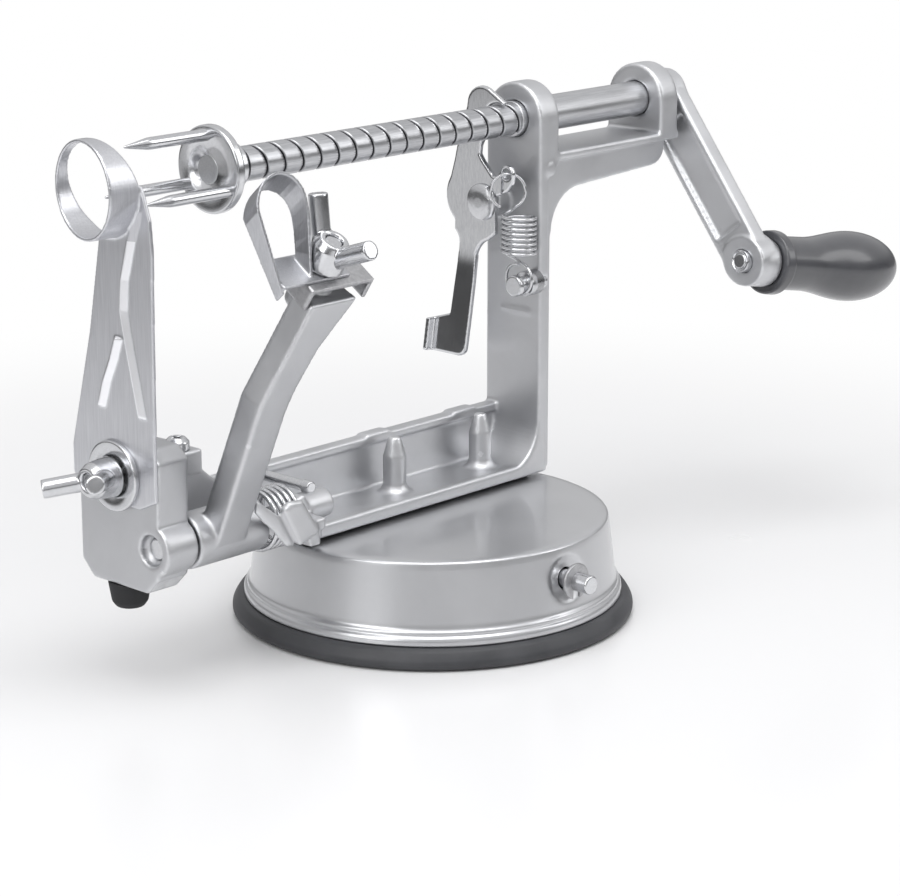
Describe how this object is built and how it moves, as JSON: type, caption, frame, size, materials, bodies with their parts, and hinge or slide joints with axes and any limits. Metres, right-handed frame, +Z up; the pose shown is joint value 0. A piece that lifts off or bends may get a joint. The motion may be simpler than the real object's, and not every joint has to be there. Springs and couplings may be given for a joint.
{
  "type": "apple peeler",
  "caption": "Hand-cranked apple peeler and corer on a suction base, with lead screw, sprung peeling arm, coring ring and release lever.",
  "frame": {"origin": "centre of the suction cup on the table", "axes": "+X along the lead screw towards the crank, +Y away from the viewer, +Z up"},
  "size_m": [0.2612, 0.104, 0.1282],
  "materials": {
    "cast_metal": "satin die casting",
    "bright_steel": "bright plated",
    "spring_steel": "bright drawn wire",
    "blade_steel": "rolled stainless sheet",
    "base_lacquer": "silver lacquer, satin",
    "rubber": "black, matte",
    "grip_plastic": "black, satin"
  },
  "bodies": {
    "base": {"frame": "cast_metal", "blade_block": "cast_metal", "block_screw": "bright_steel", "bumper": "rubber", "lever_rivet": "bright_steel", "lever_spring": "spring_steel", "spring_anchor": "bright_steel", "pivot_rod": "bright_steel", "torsion_spring": "spring_steel", "spring_pin": "bright_steel", "coring_blade": "blade_steel", "corer_bolt": "bright_steel", "corer_washer": "bright_steel", "corer_nut": "bright_steel", "base_pad": "rubber", "base_housing": "base_lacquer", "suction_cup": "rubber", "base_screw_left": "bright_steel", "base_screw_right": "bright_steel"},
    "feed_washer": {"thrust_washer": "bright_steel"},
    "screw": {"lead_screw": "bright_steel", "screw_thread": "bright_steel", "fork": "bright_steel", "fork_pin": "bright_steel", "crank_arm": "cast_metal", "cross_pin": "bright_steel", "grip_pin": "bright_steel", "grip_collar": "grip_plastic"},
    "handle": {"grip": "grip_plastic"},
    "lever": {"release_lever": "bright_steel"},
    "arm": {"peeler_arm": "cast_metal", "blade_clip": "bright_steel", "peeling_blade": "blade_steel", "peeler_bolt": "bright_steel", "peeler_nut": "bright_steel"},
    "clamp": {"cam_axle": "bright_steel", "cam": "bright_steel", "suction_lever": "bright_steel", "lever_knob": "grip_plastic", "axle_clip": "spring_steel"},
    "stem": {"pull_stem": "bright_steel", "cup_core": "rubber"}
  },
  "joints": [
    {"name": "feed", "type": "slide", "parent": "base", "child": "feed_washer", "axis": [1, 0, 0], "range_m": [0, 0.0805]},
    {"name": "crank", "type": "hinge", "parent": "feed_washer", "child": "screw", "pos_m": [0.0945, 0.009, 0.117], "axis": [1, 0, 0], "range_deg": [0, 5040]},
    {"name": "grip_spin", "type": "hinge", "parent": "screw", "child": "handle", "pos_m": [0.095, -0.02191, 0.07643], "axis": [0.9789, -0.1239, -0.1627], "continuous": true},
    {"name": "release", "type": "hinge", "parent": "base", "child": "lever", "pos_m": [0.03375, 0.0138, 0.096], "axis": [1, 0, 0], "range_deg": [-13, 0], "stiffness_Nm_per_rad": 0.3, "springref_deg": 8.02, "deforming": ["lever_spring"]},
    {"name": "arm_swing", "type": "hinge", "parent": "base", "child": "arm", "pos_m": [-0.072, -0.0011, 0.0355], "axis": [1, 0, 0], "range_deg": [-14, 40], "stiffness_Nm_per_rad": 0.15, "springref_deg": -40.11, "deforming": ["torsion_spring"]},
    {"name": "clamp_lever", "type": "hinge", "parent": "base", "child": "clamp", "pos_m": [0, 0, 0.0166], "axis": [0, -1, 0], "range_deg": [0, 90]},
    {"name": "stem_pull", "type": "slide", "parent": "base", "child": "stem", "axis": [0, 0, 1], "range_m": [-0.0018, 0]}
  ],
  "couplings": [
    {"joint": "feed", "follows": "crank", "m_per_rad": 0.00091513},
    {"joint": "stem_pull", "follows": "clamp_lever", "m_per_rad": -0.0011455}
  ]
}
